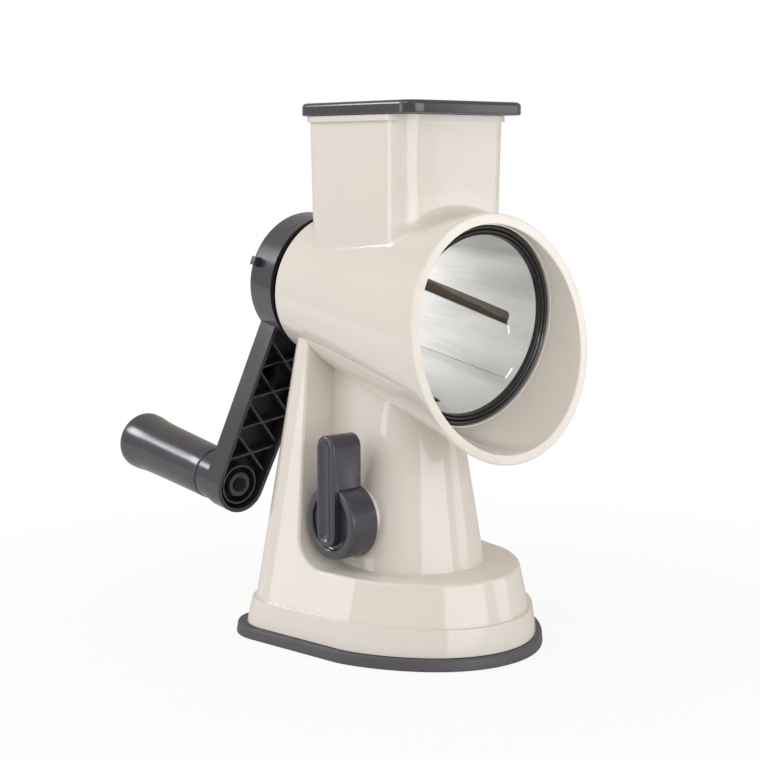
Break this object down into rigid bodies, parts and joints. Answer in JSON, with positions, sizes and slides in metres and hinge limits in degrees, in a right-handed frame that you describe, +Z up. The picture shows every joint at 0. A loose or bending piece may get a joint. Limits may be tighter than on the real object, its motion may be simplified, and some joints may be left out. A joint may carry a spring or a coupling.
{
  "type": "hand cranked rotary drum shredder",
  "caption": "Tabletop hand crank shredder: square hopper with pusher, slotted steel drum in a flared tilted barrel, tapered foot with a lever-locked suction pad.",
  "frame": {"origin": "on the table, in the foot's middle plane, under the middle of the hopper", "axes": "+Z up; -Y towards the discharge mouth; +Y towards the crank; the suction knob is on the -X side"},
  "size_m": [0.1548, 0.2832, 0.2857],
  "materials": {
    "ivory_plastic": "gloss moulded ABS",
    "charcoal_plastic": "satin moulded plastic",
    "ring_plastic": "satin moulded plastic",
    "hub_plastic": "satin moulded nylon",
    "latch_plastic": "satin moulded plastic",
    "inner_plastic": "plain moulded plastic",
    "stem_plastic": "plain moulded plastic",
    "bush_plastic": "plain moulded nylon",
    "pad_rubber": "satin rubber",
    "drum_steel": "polished sheet stainless steel",
    "shaft_steel": "turned steel",
    "screw_steel": "plated steel"
  },
  "bodies": {
    "base": {"base_shell": "ivory_plastic", "head_housing": "ivory_plastic", "suction_pad": "pad_rubber", "base_plate": "inner_plastic", "base_screws": "screw_steel", "head_screws": "screw_steel", "axle_bush": "bush_plastic"},
    "crank": {"crank_arm": "charcoal_plastic", "spindle": "shaft_steel", "spindle_clip": "screw_steel", "grip_pin": "shaft_steel"},
    "drum": {"drum_shell": "drum_steel", "drum_ring": "ring_plastic", "drum_hub": "hub_plastic"},
    "grip": {"grip": "charcoal_plastic", "grip_cap": "charcoal_plastic"},
    "latch": {"release_latch": "latch_plastic"},
    "pusher": {"pusher_plate": "charcoal_plastic", "pusher_plug": "ivory_plastic"},
    "knob": {"suction_knob": "charcoal_plastic", "cam_shaft": "shaft_steel"},
    "stem": {"suction_stem": "stem_plastic"}
  },
  "joints": [
    {"name": "crank_turn", "type": "hinge", "parent": "base", "child": "crank", "pos_m": [0, 0, 0.1786], "axis": [0, -0.9928, -0.1201], "continuous": true},
    {"name": "drum_pull", "type": "slide", "parent": "crank", "child": "drum", "axis": [0, -0.9928, -0.1201], "range_m": [0, 0.155]},
    {"name": "grip_spin", "type": "hinge", "parent": "crank", "child": "grip", "pos_m": [-0.0451, 0.15295, 0.08], "axis": [0, -0.9928, -0.1201], "continuous": true},
    {"name": "latch_press", "type": "slide", "parent": "crank", "child": "latch", "axis": [0.9588, 0.0341, -0.282], "range_m": [0, 0.0025], "stiffness_N_per_m": 400},
    {"name": "pusher_lift", "type": "slide", "parent": "base", "child": "pusher", "axis": [0, 0, 1], "range_m": [0, 0.09]},
    {"name": "knob_turn", "type": "hinge", "parent": "base", "child": "knob", "pos_m": [0, -0.0014, 0.0677], "axis": [1, 0, 0], "range_deg": [0, 90]},
    {"name": "stem_lift", "type": "slide", "parent": "base", "child": "stem", "axis": [0, 0, 1], "range_m": [0, 0.00425]}
  ],
  "couplings": [
    {"joint": "stem_lift", "follows": "knob_turn", "m_per_rad": 0.0027009}
  ]
}
